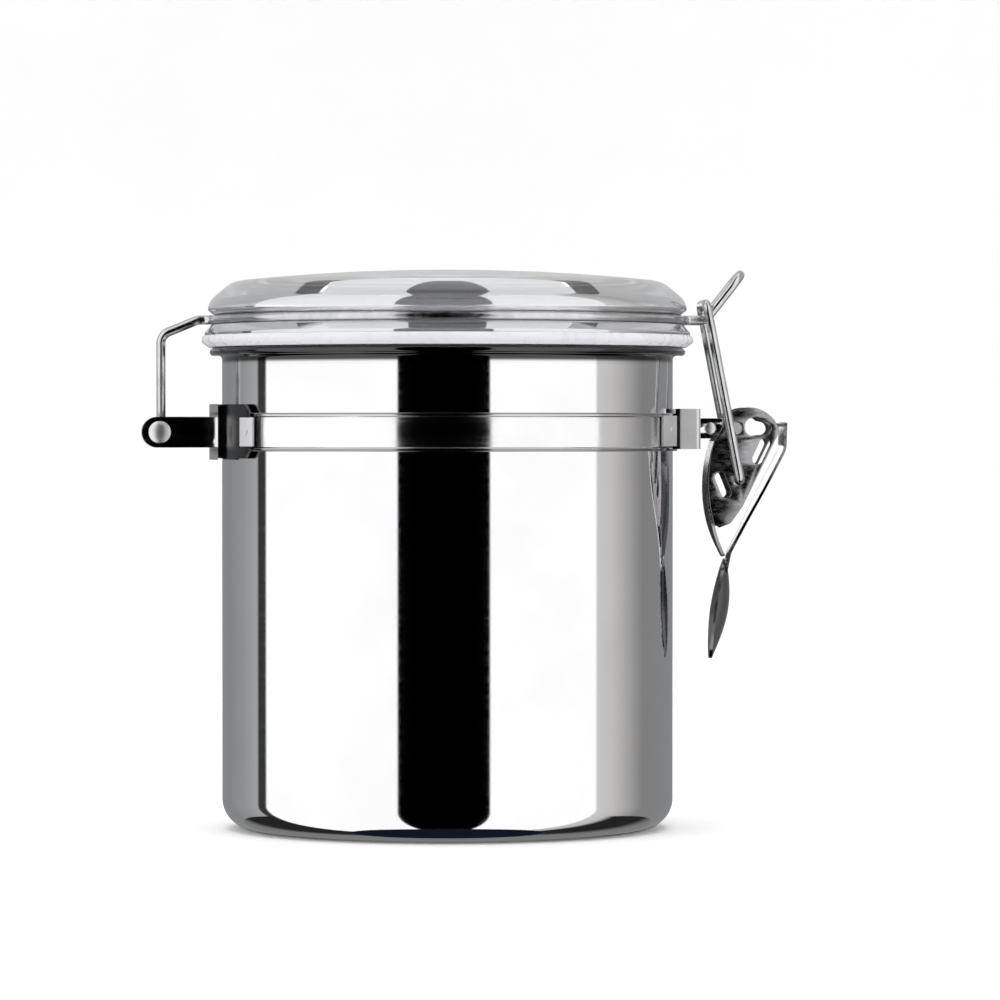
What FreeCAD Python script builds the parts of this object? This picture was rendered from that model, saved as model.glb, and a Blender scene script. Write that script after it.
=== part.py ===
import FreeCAD, Part
import math
import os

import Sketcher

# A clamp-lid food canister: a spun steel can, a clear lid held by a ring wire, a riveted steel
# band with a rear hinge, and a front over-centre latch. Millimetres; +Z up, +X the latch side,
# -X the hinge side, origin at the middle of the flat base.

SIZES = {
    # can
    "can_radius": 60.0, "can_inner": 59.2, "floor_gauge": 0.8, "rim_radius": 63.3,
    "rim_under": 125.5, "rim_top": 127.6, "can_corner": 8.0, "can_inner_corner": 7.2,
    "rim_round": 1.0,
    # lid
    "lid_top": 148.3, "crown_flat": 4.0, "lid_crown": 540.0,
    "lid_shoulder": 54.4, "lid_shoulder_z": 145.6, "lid_corner": 9.3, "lid_radius": 63.7,
    "lid_side_top": 138.9, "lid_side_low": 137.5,
    "neck_lip": 62.4, "neck_top": 136.4, "neck_radius": 60.8, "neck_low": 133.9,
    "flange_ledge": 62.8, "flange_radius": 64.6, "flange_low": 131.7, "lid_seat": 130.9,
    "plug_radius": 56.0, "plug_low": 125.8, "plug_inner": 53.2, "lid_inner_z": 142.7,
    "lid_inner_top": 145.3,
    # gasket
    "gasket_inner": 56.1, "gasket_low": 127.8, "gasket_lip_z": 128.5, "gasket_lip": 58.6,
    "gasket_foot": 63.6, "gasket_radius": 65.6, "gasket_widest_z": 129.2, "gasket_top_r": 65.2,
    # ring wire round the lid
    "wire_radius": 1.2, "ring_radius": 62.0, "ring_z": 135.1, "ring_bend": 3.0,
    "tongue_half": 4.5, "tongue_foot": 68.6, "tongue_tip": 78.2, "tongue_tip_z": 147.3,
    "tongue_bend": 2.5, "leg_half": 1.3, "leg_knee": 66.4, "leg_back": 76.2,
    "leg_elbow_z": 131.1, "leg_bend": 3.2, "eye_radius": 2.8,
    # band
    "band_face": 60.9, "band_bead": 61.2, "band_low": 100.3, "band_bead_low": 101.2,
    "band_bead_top": 109.4, "band_top": 110.3, "band_sweep": 172.1, "band_turn": 91.3,
    "sheet_gauge": 0.8,
    # hinge at the rear
    "hinge_reach": 76.5, "hinge_z": 105.3, "hinge_leaf_end": 77.4, "hinge_leaf_half": 2.8,
    "hinge_leaf_low": 101.2, "hinge_leaf_height": 8.2, "hinge_leaf_round": 4.1,
    "hinge_leaf_root": 60.2, "hinge_pin": 1.55, "hinge_head": 2.95, "hinge_head_rise": 1.0,
    "hinge_pin_half": 3.6, "hinge_head_flat": 1.0, "hinge_head_dome": 2.4,
    "saddle_outer": 62.0, "saddle_low": 98.4, "saddle_top": 112.6, "saddle_sweep": 63.0,
    "saddle_chamfer": 2.5, "collar_outer": 63.4, "collar_low": 98.0, "collar_top": 112.7,
    "collar_sweep": 31.0, "rear_slot_width": 7.3, "rear_slot_height": 8.3,
    "rear_slot_low": 101.15, "rear_pad_outer": 62.5, "rear_pad_low": 101.6,
    "rear_pad_top": 109.1, "rear_pad_sweep": 6.0, "rear_pad_turn": 30.5,
    "weld_radius": 0.8, "weld_rise": 0.3, "weld_length": 0.8,
    # bracket at the front
    "leaf_half": 5.6, "leaf_root": 60.0, "leaf_low": 103.6, "leaf_height": 5.4,
    "leaf_round": 2.7, "front_saddle_outer": 62.4, "front_saddle_low": 100.8,
    "front_saddle_height": 10.7, "front_saddle_top": 111.5, "front_saddle_sweep": 24.0,
    "front_slot_width": 12.9, "front_slot_height": 5.5, "front_slot_low": 103.55,
    "clip_face": 67.0, "clip_width": 16.4, "clip_back": 60.5, "clip_round": 1.2,
    "front_pad_outer": 61.8, "front_pad_low": 101.6, "front_pad_top": 109.6,
    "front_pad_sweep": 12.5, "front_pad_turn": 19.8,
    "tab_rivet_x": 69.7, "tab_rivet_pin": 1.0, "tab_rivet_head": 1.6,
    "tab_rivet_half": 6.4, "tab_rivet_rise": 0.35,
    "tab_rivet_flat": 0.8, "tab_rivet_dome": 1.1,
    # latch lever
    "pivot_x": 76.4, "pivot_z": 106.3, "pivot_pin": 1.6, "pivot_bore": 1.65,
    "lever_half": 7.8, "lever_width": 15.6, "lever_inside": 14.0,
    "heel_x": 70.6, "heel_z": 102.9, "crown_x": 75.4, "crown_z": 110.7, "crown_round": 8.6,
    "brow_x": 88.1, "brow_z": 105.6, "hip_x": 78.3, "hip_z": 85.7, "shin_x": 74.2,
    "shin_z": 78.9, "toe_x": 74.1, "toe_z": 72.2, "sole_x": 73.3, "sole_z": 72.0,
    "spine_round": 39.7, "spine_inner_round": 38.9, "spine_top_x": 71.42,
    "spine_top_z": 102.7, "spine_foot_x": 73.75, "spine_foot_z": 73.3,
    "eyelet_x": 81.2, "eyelet_z": 106.7, "eyelet_radius": 2.5, "eyelet_side_x": 84.1,
    "eyelet_side_z": 106.3, "eyelet_side_radius": 1.75, "slot_x": 83.1, "slot_z": 100.2,
    "slot_half": 1.4, "low_slot_x": 72.9, "low_slot_z": 90.5,
    "low_slot_half": 1.0,
    # face plate and finger spoon
    "plate_tip_x": 90.4, "plate_tip_z": 108.2, "plate_bend_x": 90.1, "plate_bend_z": 100.6,
    "plate_low_x": 75.7, "plate_low_z": 72.9, "tail_x": 74.9, "tail_inner_x": 73.9,
    "tail_z": 68.3, "plate_in_low_x": 74.7, "plate_in_low_z": 73.3, "plate_in_bend_x": 89.0,
    "plate_in_bend_z": 100.9, "plate_in_x": 88.9, "plate_in_z": 105.1, "plate_seat_x": 87.3,
    "plate_seat_z": 107.5,
    "web_taper_z": 82.3, "web_neck_z": 73.3, "face_taper_z": 92.3,
    "tail_half": 3.2, "face_neck_z": 75.3, "face_cap": 109.3, "spoon_top_x": 74.5,
    "spoon_top_z": 71.7, "spoon_foot_x": 70.6,
    "spoon_foot_z": 44.7, "spoon_belly": 36.2, "spoon_leaf": 16.6, "bowl_top_x": 73.5,
    "bowl_top_z": 69.9, "bowl_foot_x": 70.6, "bowl_foot_z": 46.7, "bowl_belly": 34.4,
    "bowl_leaf": 14.2, "bowl_open_x": 64.0,
    # bail
    "bail_x": 77.4, "bail_z": 92.6, "bail_bore": 1.25, "bail_half": 9.4, "bail_end": 6.4,
    "bail_bar_x": 68.4, "bail_bar_z": 139.4, "bail_foot_bend": 1.4, "bail_top_bend": 2.6,
}

WHOLE_TURN = 360
DOC = FreeCAD.newDocument("canister")
SHEET = DOC.addObject("Spreadsheet::Sheet", "Sizes")
PARTS = []


def fill_sheet():
    for row, (alias, size) in enumerate(SIZES.items(), start=1):
        SHEET.set(f"A{row}", alias)
        SHEET.set(f"B{row}", str(size))
        SHEET.setAlias(f"B{row}", alias)
    DOC.recompute()


def amount(text):
    """The number a sum of size names stands for, such as "can_radius - floor_gauge"."""
    total, sign = 0.0, 1
    for word in text.split():
        if word in "+-":
            sign = -1 if word == "-" else 1
        else:
            total += sign * (SIZES[word] if word in SIZES else float(word))
    return total


def bound(text):
    """The same sum written for the expression engine."""
    return " ".join("Sizes." + word if word in SIZES else word for word in text.split())


def drive(thing, **sums):
    for prop, text in sums.items():
        thing.setExpression(prop, bound(text))


def seat(thing, x="0", y="0", z="0"):
    for axis, text in zip("xyz", (x, y, z)):
        thing.setExpression(f".Placement.Base.{axis}", bound(text))


# ---- sketches and bodies ----

def new_body(name):
    return DOC.addObject("PartDesign::Body", name)


def origin_plane(body, role):
    return next(f for f in body.Origin.OriginFeatures if f.Role == role)


def arc_between(start, end, radius, side):
    """Arc from start to end with its centre on the left (+1) or right (-1) of the chord."""
    chord = end - start
    middle = start + chord * 0.5
    left = FreeCAD.Vector(-chord.y, chord.x, 0).normalize()
    reach = math.sqrt(radius ** 2 - (chord.Length / 2) ** 2)
    centre = middle + left * (reach * side)
    first, last = (start, end) if side > 0 else (end, start)
    angles = [math.atan2(p.y - centre.y, p.x - centre.x) for p in (first, last)]
    circle = Part.Circle(centre, FreeCAD.Vector(0, 0, 1), radius)
    return Part.ArcOfCircle(circle, angles[0], angles[1])


def outline(body, name, role, corners):
    """Closed sketch. A corner is (across, up), or (across, up, radius, side) after an arc."""
    sketch = body.newObject("Sketcher::SketchObject", name)
    sketch.AttachmentSupport = (origin_plane(body, role), [""])
    sketch.MapMode = "FlatFace"
    spots = [FreeCAD.Vector(amount(c[0]), amount(c[1]), 0) for c in corners]
    ends = []
    for i, corner in enumerate(corners):
        start, end = spots[i - 1], spots[i]
        if len(corner) > 2:
            sketch.addGeometry(arc_between(start, end, amount(corner[2]), corner[3]))
            ends.append((1, 2) if corner[3] > 0 else (2, 1))
        else:
            sketch.addGeometry(Part.LineSegment(start, end))
            ends.append((1, 2))
    for i, corner in enumerate(corners):
        following = (i + 1) % len(corners)
        sketch.addConstraint(
            Sketcher.Constraint("Coincident", i, ends[i][1], following, ends[following][0]))
        place_corner(sketch, i, ends[i][1], corner)
        if len(corner) > 2:
            fix(sketch, f"bend{i}", corner[2], "Radius", i)
    return sketch


def place_corner(sketch, edge, end, corner):
    for kind, axis, text in (("DistanceX", -2, corner[0]), ("DistanceY", -1, corner[1])):
        if amount(text) == 0:
            sketch.addConstraint(Sketcher.Constraint("PointOnObject", edge, end, axis))
        else:
            fix(sketch, f"{kind.lower()}{edge}", text, kind, -1, 1, edge, end)


def fix(sketch, name, text, kind, *where):
    index = sketch.addConstraint(Sketcher.Constraint(kind, *where, amount(text)))
    sketch.renameConstraint(index, name)
    sketch.setExpression(f"Constraints.{name}", bound(text))


def lathe(name, corners, sweep=None):
    """Body turned about Z from an outline of (radius, height) corners."""
    body = new_body(name)
    sketch = outline(body, name + "_outline", "XZ_Plane", corners)
    turned = body.newObject("PartDesign::Revolution", name + "_turned")
    turned.Profile = sketch
    turned.ReferenceAxis = (sketch, ["V_Axis"])
    if sweep is None:
        turned.Angle = WHOLE_TURN
    else:
        turned.Midplane = True
        drive(turned, Angle=sweep)
    DOC.recompute()
    return body


def pad(body, sketch, length):
    """Pad centred on the sketch plane."""
    padded = body.newObject("PartDesign::Pad", sketch.Name + "_pad")
    padded.Profile = sketch
    padded.Midplane = True
    drive(padded, Length=length)
    DOC.recompute()
    return padded


def round_circles(body, radius, circles):
    """Fillet the turned edges that lie at the given (radius, height) places."""
    base = body.Tip
    wanted = [(amount(r), amount(z)) for r, z in circles]
    names = []
    for number, edge in enumerate(base.Shape.Edges, start=1):
        curve = edge.Curve
        if isinstance(curve, Part.Circle):
            for r, z in wanted:
                if abs(curve.Radius - r) < 1e-4 and abs(curve.Center.z - z) < 1e-4:
                    names.append(f"Edge{number}")
    rounded = body.newObject("PartDesign::Fillet", f"{base.Name}_{radius}")
    rounded.Base = (base, names)
    drive(rounded, Radius=radius)
    DOC.recompute()


# ---- primitives and booleans ----

def box(name, length, width, height, x="0", y="0", z="0"):
    block = DOC.addObject("Part::Box", name)
    drive(block, Length=length, Width=width, Height=height)
    seat(block, x, y, z)
    return block


def upright(name, radius, height, z):
    post = DOC.addObject("Part::Cylinder", name)
    drive(post, Radius=radius, Height=height)
    seat(post, z=z)
    return post


def crossbar(name, radius, length, x, y, z):
    """Cylinder along +Y starting at y."""
    bar = DOC.addObject("Part::Cylinder", name)
    bar.Placement.Rotation = FreeCAD.Rotation(FreeCAD.Vector(1, 0, 0), -90)
    drive(bar, Radius=radius, Height=length)
    seat(bar, x, y, z)
    return bar


def fuse(name, shapes):
    joined = DOC.addObject("Part::MultiFuse", name)
    joined.Shapes = shapes
    joined.Refine = True
    DOC.recompute()
    return joined


def cut(name, base, tool):
    cleared = DOC.addObject("Part::Cut", name)
    cleared.Base = base
    cleared.Tool = tool
    DOC.recompute()
    return cleared


def finish(thing, label):
    thing.Label = label
    PARTS.append(thing)


# ---- wires ----

def corner_arc(before, corner, after, radius):
    """Tangent arc that rounds one corner of a wire's centre line."""
    back = (before - corner).normalize()
    ahead = (after - corner).normalize()
    half = back.getAngle(ahead) / 2
    reach = radius / math.tan(half)
    inward = (back + ahead).normalize()
    centre = corner + inward * (radius / math.sin(half))
    return Part.Arc(corner + back * reach, centre - inward * radius, corner + ahead * reach)


def bent_line(points, radii):
    """Edges through the points, each inner corner rounded by its radius."""
    edges, start = [], points[0]
    for before, corner, after, radius in zip(points, points[1:], points[2:], radii):
        arc = corner_arc(before, corner, after, radius)
        edges += [Part.makeLine(start, arc.StartPoint), arc.toShape()]
        start = arc.EndPoint
    return edges + [Part.makeLine(start, points[-1])]


def sweep_wire(edges, start, heading):
    rim = Part.Wire([Part.makeCircle(SIZES["wire_radius"], start, heading)])
    return Part.Wire(edges).makePipeShell([rim], True, False)


def wire_feature(name, shape, label):
    feature = DOC.addObject("Part::Feature", name)
    feature.Shape = shape
    feature.Placement = FreeCAD.Placement()
    finish(feature, label)


# ---- the pieces ----

def make_can():
    body = lathe("can", [
        ("0", "0"), ("can_radius", "0"), ("can_radius", "rim_under"),
        ("rim_radius", "rim_under"), ("rim_radius", "rim_top"), ("can_inner", "rim_top"),
        ("can_inner", "floor_gauge"), ("0", "floor_gauge")])
    round_circles(body, "can_corner", [("can_radius", "0")])
    round_circles(body, "can_inner_corner", [("can_inner", "floor_gauge")])
    round_circles(body, "rim_round", [("rim_radius", "rim_under"), ("rim_radius", "rim_top")])
    finish(body, "canister_body")


def make_lid():
    body = lathe("lid_shell", [
        ("crown_flat", "lid_top", "lid_crown", 1), ("0", "lid_top"),
        ("0", "lid_inner_top"), ("crown_flat", "lid_inner_top"),
        ("plug_inner", "lid_inner_z", "lid_crown", -1),
        ("plug_inner", "plug_low"), ("plug_radius", "plug_low"), ("plug_radius", "lid_seat"),
        ("flange_radius", "lid_seat"), ("flange_radius", "flange_low"),
        ("flange_ledge", "neck_low"), ("neck_radius", "neck_low"),
        ("neck_radius", "neck_top"), ("neck_lip", "neck_top"), ("lid_radius", "lid_side_low"),
        ("lid_radius", "lid_side_top"),
        ("lid_shoulder", "lid_shoulder_z", "lid_corner", 1)])
    finish(body, "lid")


def make_gasket():
    body = lathe("seal", [
        ("gasket_inner", "lid_seat"), ("gasket_inner", "gasket_lip_z"),
        ("gasket_lip", "gasket_low"), ("gasket_foot", "gasket_low"),
        ("gasket_radius", "gasket_widest_z"), ("gasket_top_r", "lid_seat")])
    finish(body, "lid_gasket")


def plan_bend(half):
    """Where a wire leaves the ring for a straight run at this distance from the X axis."""
    far = SIZES["ring_radius"] + SIZES["ring_bend"]
    side = half + SIZES["ring_bend"]
    centre = FreeCAD.Vector(math.sqrt(far ** 2 - side ** 2), side, SIZES["ring_z"])
    flat = FreeCAD.Vector(centre.x, centre.y, 0)
    on_ring = flat * (SIZES["ring_radius"] / far) + FreeCAD.Vector(0, 0, SIZES["ring_z"])
    on_run = FreeCAD.Vector(centre.x, half, SIZES["ring_z"])
    inward = ((on_ring - centre) + (on_run - centre)).normalize()
    return on_ring, centre + inward * SIZES["ring_bend"], on_run


def flip_x(point):
    return FreeCAD.Vector(-point.x, point.y, point.z)


def ring_half_edges():
    """Centre line of the +Y half: rear leg, ring, tongue, tip of the tongue."""
    height, leg = SIZES["ring_z"], SIZES["leg_half"]
    rear = [flip_x(p) for p in plan_bend(leg)]
    front = plan_bend(SIZES["tongue_half"])
    eye_top = SIZES["hinge_z"] + SIZES["eye_radius"]
    leg_points = [
        FreeCAD.Vector(-SIZES["leg_back"], leg, eye_top),
        FreeCAD.Vector(-SIZES["leg_back"], leg, SIZES["leg_elbow_z"]),
        FreeCAD.Vector(-SIZES["leg_knee"], leg, height),
        rear[2]]
    edges = bent_line(leg_points, [SIZES["leg_bend"], SIZES["leg_bend"]])
    edges.append(Part.Arc(rear[2], rear[1], rear[0]).toShape())
    top = FreeCAD.Vector(0, SIZES["ring_radius"], height)
    edges.append(Part.Arc(rear[0], top, front[0]).toShape())
    edges.append(Part.Arc(front[0], front[1], front[2]).toShape())
    return edges + tongue_edges(front[2]), leg_points[0]


def tongue_edges(start):
    half = SIZES["tongue_half"]
    foot = FreeCAD.Vector(SIZES["tongue_foot"], 0, SIZES["ring_z"])
    tip = FreeCAD.Vector(SIZES["tongue_tip"], 0, SIZES["tongue_tip_z"])
    rise = (tip - foot).normalize()
    side = FreeCAD.Vector(0, half, 0)
    turn = tip - rise * half
    edges = bent_line([start, foot + side, turn + side], [SIZES["tongue_bend"]])
    knuckle = turn + (rise + FreeCAD.Vector(0, 1, 0)).normalize() * half
    return edges + [Part.Arc(turn + side, knuckle, tip).toShape()]


def make_ring_wire():
    edges, start = ring_half_edges()
    half = sweep_wire(edges, start, FreeCAD.Vector(0, 0, 1))
    centre = FreeCAD.Vector(-SIZES["hinge_reach"], SIZES["leg_half"], SIZES["hinge_z"])
    eye = Part.makeTorus(SIZES["eye_radius"], SIZES["wire_radius"], centre,
                         FreeCAD.Vector(0, 1, 0))
    half = half.fuse(eye)
    other = half.mirror(FreeCAD.Vector(0, 0, 0), FreeCAD.Vector(0, 1, 0))
    wire_feature("ring_wire", half.fuse(other).removeSplitter(), "lid_ring_wire")


def make_band_half(name, label, side):
    """One half of the band; side +1 is the far half, -1 the near half."""
    strap = lathe(name + "_strap", [
        ("can_radius", "band_low"), ("band_bead", "band_low"), ("band_bead", "band_bead_low"),
        ("band_face", "band_bead_low"), ("band_face", "band_bead_top"),
        ("band_bead", "band_bead_top"), ("band_bead", "band_top"), ("can_radius", "band_top")],
        sweep="band_sweep")
    strap.Placement.Rotation = FreeCAD.Rotation(FreeCAD.Vector(0, 0, 1),
                                                side * SIZES["band_turn"])
    near = "" if side > 0 else "- "
    gauge = "" if side > 0 else " - sheet_gauge"
    front_y, rear_y = near + "leaf_half" + gauge, near + "hinge_leaf_half" + gauge
    front = box(name + "_leaf", "pivot_x - leaf_root", "sheet_gauge", "leaf_height",
                "leaf_root", front_y, "leaf_low")
    front_end = crossbar(name + "_leaf_end", "leaf_round", "sheet_gauge",
                         "pivot_x", front_y, "pivot_z")
    rear = box(name + "_hinge_leaf", "hinge_leaf_end - hinge_leaf_root", "sheet_gauge",
               "hinge_leaf_height", "- hinge_leaf_end", rear_y, "hinge_leaf_low")
    rear_end = crossbar(name + "_hinge_end", "hinge_leaf_round", "sheet_gauge",
                        "- hinge_leaf_end", rear_y, "hinge_z")
    solid = fuse(name + "_solid", [strap, front, front_end, rear, rear_end])
    bores = fuse(name + "_bores", [
        crossbar(name + "_pin_bore", "pivot_pin", "lever_width", "pivot_x",
                 "- lever_half", "pivot_z"),
        crossbar(name + "_tab_bore", "tab_rivet_pin", "lever_width", "tab_rivet_x",
                 "- lever_half", "pivot_z"),
        crossbar(name + "_hinge_bore", "hinge_pin", "lever_width", "- hinge_reach",
                 "- lever_half", "hinge_z")])
    finish(cut(name, solid, bores), label)


def sector(name, inner, outer, low, top, sweep):
    return lathe(name, [(inner, low), (outer, low), (outer, top), (inner, top)], sweep=sweep)


def rear_window(name):
    return box(name, "collar_outer", "rear_slot_width", "rear_slot_height",
               "- collar_outer - 5", "- hinge_leaf_half - sheet_gauge - 0.05", "rear_slot_low")


def make_rear_plates():
    half_turn = FreeCAD.Rotation(FreeCAD.Vector(0, 0, 1), 180)
    saddle = sector("saddle_blank", "band_bead", "saddle_outer", "saddle_low", "saddle_top",
                    "saddle_sweep")
    chamfer_corners(saddle)
    collar = sector("collar_blank", "saddle_outer", "collar_outer", "collar_low", "collar_top",
                    "collar_sweep")
    for plate, label in ((saddle, "rear_saddle"), (collar, "rear_collar")):
        plate.Placement.Rotation = half_turn
        finish(cut(label + "_cut", plate, rear_window(label + "_window")), label)


def chamfer_corners(body):
    """Break the four short radial edges at the corners of a curved plate."""
    base = body.Tip
    gauge = SIZES["saddle_outer"] - SIZES["band_bead"]
    names = [f"Edge{n}" for n, edge in enumerate(base.Shape.Edges, start=1)
             if abs(edge.Length - gauge) < 1e-3]
    broken = body.newObject("PartDesign::Chamfer", body.Name + "_corners")
    broken.Base = (base, names)
    drive(broken, Size="saddle_chamfer")
    DOC.recompute()


def weld_dot(name, outer, turn, height):
    """Small raised dot standing radially out of a curved plate."""
    angle = math.radians(turn)
    outward = FreeCAD.Vector(math.cos(angle), math.sin(angle), 0)
    dot = DOC.addObject("Part::Cylinder", name)
    drive(dot, Radius="weld_radius", Height="weld_length")
    reach = SIZES[outer] + SIZES["weld_rise"] - SIZES["weld_length"]
    dot.Placement = FreeCAD.Placement(outward * reach + FreeCAD.Vector(0, 0, height),
                                      FreeCAD.Rotation(FreeCAD.Vector(0, 0, 1), outward))
    return dot


def make_pads(name, label, sizes, turns):
    """Matching spot-welded pads on the near and far sides."""
    inner, outer, low, top, sweep = sizes
    middle = (SIZES[low] + SIZES[top]) / 2
    pieces = []
    for number, turn in enumerate(turns):
        plate = sector(f"{name}_{number}", inner, outer, low, top, sweep)
        plate.Placement.Rotation = FreeCAD.Rotation(FreeCAD.Vector(0, 0, 1), turn)
        dot = weld_dot(f"{name}_dot_{number}", outer, turn, middle)
        pieces.append(fuse(f"{name}_pair_{number}", [plate, dot]))
    finish(fuse(name, pieces), label)


def make_front_bracket():
    blank = sector("front_saddle_blank", "band_bead", "front_saddle_outer",
                   "front_saddle_low", "front_saddle_top", "front_saddle_sweep")
    finish(cut("front_saddle_cut", blank, front_window("front_saddle_window")),
           "front_saddle")
    block = box("clip_block", "clip_face - clip_back", "clip_width", "front_saddle_height",
                "clip_back", "- leaf_half - 2.6", "front_saddle_low")
    hollow = upright("clip_hollow", "front_saddle_outer", "front_saddle_height",
                     "front_saddle_low")
    open_block = cut("clip_open", cut("clip_seat", block, hollow),
                     front_window("clip_window"))
    rounded = DOC.addObject("Part::Fillet", "clip_rounded")
    rounded.Base = open_block
    radius = SIZES["clip_round"]
    rounded.Edges = [(n, radius, radius) for n in outer_face_edges(open_block.Shape)]
    DOC.recompute()
    finish(rounded, "front_clip")


def outer_face_edges(shape):
    """The two long front edges of the clip, where its folded sheet turns."""
    found = []
    for number, edge in enumerate(shape.Edges, start=1):
        box_ = edge.BoundBox
        upright_edge = box_.ZLength > SIZES["front_saddle_height"] - 0.1
        if upright_edge and abs(box_.XMin - SIZES["clip_face"]) < 1e-3:
            found.append(number)
    return found


def front_window(name):
    return box(name, "clip_face", "front_slot_width", "front_slot_height",
               "leaf_root - 5", "- leaf_half - sheet_gauge - 0.05", "front_slot_low")


def make_rivet(name, label, sizes, place):
    """Rivet along Y: a shank with a low domed head on both ends."""
    pin, half, head, rise, flat, dome = sizes
    body = lathe(name, [
        ("0", f"- {half} - {rise}"), (flat, f"- {half} - {rise}"),
        (head, f"- {half}", dome, 1), (pin, f"- {half}"), (pin, half), (head, half),
        (flat, f"{half} + {rise}", dome, 1), ("0", f"{half} + {rise}")])
    body.Placement.Rotation = FreeCAD.Rotation(FreeCAD.Vector(1, 0, 0), -90)
    seat(body, *place)
    finish(body, label)


def make_pins():
    make_rivet("rear_rivet", "hinge_rivet",
               ("hinge_pin", "hinge_pin_half", "hinge_head", "hinge_head_rise",
                "hinge_head_flat", "hinge_head_dome"),
               ("- hinge_reach", "0", "hinge_z"))
    make_rivet("tab_rivet", "front_tab_rivet",
               ("tab_rivet_pin", "tab_rivet_half", "tab_rivet_head", "tab_rivet_rise",
                "tab_rivet_flat", "tab_rivet_dome"),
               ("tab_rivet_x", "0", "pivot_z"))
    finish(crossbar("lever_pin", "pivot_pin", "lever_width", "pivot_x", "- lever_half",
                    "pivot_z"), "lever_pivot_pin")


def make_bracket():
    body = new_body("bracket")
    blank = outline(body, "bracket_side", "XZ_Plane", [
        ("heel_x", "heel_z", "spine_round", -1), ("crown_x", "crown_z"),
        ("brow_x", "brow_z", "crown_round", -1), ("hip_x", "hip_z"), ("shin_x", "shin_z"),
        ("toe_x", "toe_z"), ("sole_x", "sole_z")])
    pad(body, blank, "lever_width")
    room = outline(body, "bracket_room", "XZ_Plane", [
        ("spine_top_x", "spine_top_z", "spine_inner_round", -1), ("heel_x - 8", "spine_top_z"),
        ("heel_x - 8", "crown_z + 8"), ("brow_x + 8", "crown_z + 8"),
        ("brow_x + 8", "sole_z - 5"), ("spine_foot_x + 3", "sole_z - 5"),
        ("spine_foot_x", "spine_foot_z")])
    hollow = body.newObject("PartDesign::Pocket", "bracket_hollow")
    hollow.Profile = room
    hollow.Midplane = True
    drive(hollow, Length="lever_inside")
    DOC.recompute()
    face = front_mask("bracket_face", "web_taper_z", "web_neck_z", "sole_z - 1", "crown_z + 3")
    tapered = DOC.addObject("Part::MultiCommon", "bracket_tapered")
    tapered.Shapes = [body, face]
    DOC.recompute()
    finish(cut("bracket_bored", tapered, lever_bores()), "latch_bracket")


def front_mask(name, taper, neck, foot, cap):
    """Front outline shared by the lever's stampings: full width, then narrowing to a neck."""
    body = new_body(name)
    pad(body, outline(body, name + "_outline", "YZ_Plane", [
        ("lever_half", cap), ("- lever_half", cap), ("- lever_half", taper),
        ("- tail_half", neck), ("- tail_half", foot), ("tail_half", foot),
        ("tail_half", neck), ("lever_half", taper)]), "can_radius + rim_top")
    return body


def lever_bores():
    """Bores for the pivot pin and the bail, and the lightening holes in both cheeks."""
    across = ("lever_width + 2", "- lever_half - 1")
    rounds = (
        ("pivot", "pivot_bore", "pivot_x", "pivot_z"), ("bail", "bail_bore", "bail_x", "bail_z"),
        ("eyelet", "eyelet_radius", "eyelet_x", "eyelet_z"),
        ("eyelet_side", "eyelet_side_radius", "eyelet_side_x", "eyelet_side_z"),
        ("slot_top", "slot_half", "slot_x + 0.7", "slot_z + 1.5"),
        ("slot_middle", "slot_half", "slot_x", "slot_z"),
        ("slot_foot", "slot_half", "slot_x - 0.7", "slot_z - 1.5"),
        ("low_slot_top", "low_slot_half", "low_slot_x - 0.3", "low_slot_z + 1.6"),
        ("low_slot_middle", "low_slot_half", "low_slot_x", "low_slot_z"),
        ("low_slot_foot", "low_slot_half", "low_slot_x + 0.3", "low_slot_z - 1.6"))
    return fuse("lever_bores", [
        crossbar(name + "_bore", radius, across[0], x, across[1], z)
        for name, radius, x, z in rounds])


def make_handle():
    side = new_body("handle_side")
    pad(side, outline(side, "handle_profile", "XZ_Plane", [
        ("plate_tip_x", "plate_tip_z"), ("plate_bend_x", "plate_bend_z"),
        ("plate_low_x", "plate_low_z"), ("tail_x", "tail_z"), ("tail_inner_x", "tail_z"),
        ("plate_in_low_x", "plate_in_low_z"), ("plate_in_bend_x", "plate_in_bend_z"),
        ("plate_in_x", "plate_in_z"), ("plate_seat_x", "plate_seat_z")]), "lever_width")
    face = front_mask("handle_face", "face_taper_z", "face_neck_z", "tail_z - 1", "face_cap")
    plate = DOC.addObject("Part::MultiCommon", "handle_plate")
    plate.Shapes = [side, face]
    DOC.recompute()
    dished = cut("spoon_dished", fuse("handle_solid", [plate, make_spoon()]), make_bowl())
    finish(dished, "latch_handle")


def leaf_prism(name, side_corners, front_corners):
    """Where a side outline and a leaf-shaped front outline, both padded through, meet."""
    side, front = new_body(name + "_side"), new_body(name + "_front")
    pad(side, outline(side, name + "_profile", "XZ_Plane", side_corners), "lever_width")
    pad(front, outline(front, name + "_leaf", "YZ_Plane", front_corners),
        "can_radius + rim_top")
    prism = DOC.addObject("Part::MultiCommon", name)
    prism.Shapes = [side, front]
    DOC.recompute()
    return prism


def make_spoon():
    return leaf_prism("spoon", [
        ("spoon_top_x", "spoon_top_z", "spoon_belly", -1),
        ("spoon_foot_x", "spoon_foot_z", "spoon_belly", -1)], [
        ("0", "spoon_top_z", "spoon_leaf", 1), ("0", "spoon_foot_z", "spoon_leaf", 1)])


def make_bowl():
    return leaf_prism("bowl", [
        ("bowl_top_x", "bowl_top_z"),
        ("bowl_foot_x", "bowl_foot_z", "bowl_belly", -1), ("bowl_open_x", "bowl_foot_z"),
        ("bowl_open_x", "bowl_top_z")], [
        ("0", "bowl_top_z", "bowl_leaf", 1), ("0", "bowl_foot_z", "bowl_leaf", 1)])


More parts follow.
